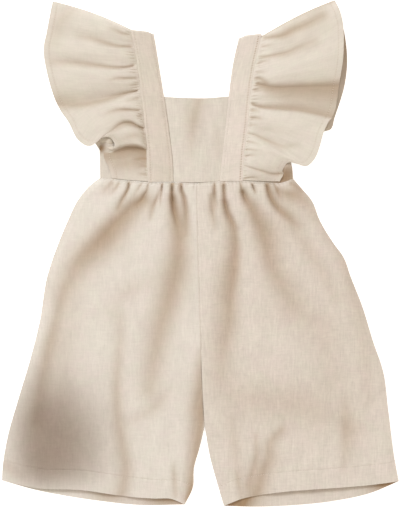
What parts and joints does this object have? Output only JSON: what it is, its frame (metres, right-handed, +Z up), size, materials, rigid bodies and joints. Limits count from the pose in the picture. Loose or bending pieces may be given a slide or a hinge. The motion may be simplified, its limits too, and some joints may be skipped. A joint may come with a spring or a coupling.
{
  "type": "baby romper",
  "caption": "Sleeveless linen baby romper laid flat, with a square bib, wide straps, gathered shoulder ruffles and wide cropped legs gathered into the waist seam.",
  "frame": {"origin": "middle of the garment's bounding box, on the surface that it lies on", "axes": "+Z up from the surface, +Y from the hems to the shoulders, +X to the right as the front is seen from above"},
  "size_m": [0.4364, 0.5564, 0.0235],
  "materials": {
    "bodice": "matte plain-woven natural linen, slightly slubbed",
    "strap": "matte plain-woven natural linen, slightly slubbed",
    "ruffle": "matte plain-woven natural linen, slightly slubbed",
    "leg_left": "matte plain-woven natural linen, slightly slubbed",
    "leg_right": "matte plain-woven natural linen, slightly slubbed"
  },
  "bodies": {
    "root": {"bib_front": "bodice", "back_centre": "bodice", "strap_left": "strap", "side_front_left": "bodice", "side_back_left": "bodice", "ruffle_left": "ruffle", "leg_front_left": "leg_left", "leg_back_left": "leg_left", "strap_right": "strap", "side_front_right": "bodice", "side_back_right": "bodice", "ruffle_right": "ruffle", "leg_front_right": "leg_right", "leg_back_right": "leg_right"}
  },
  "joints": []
}
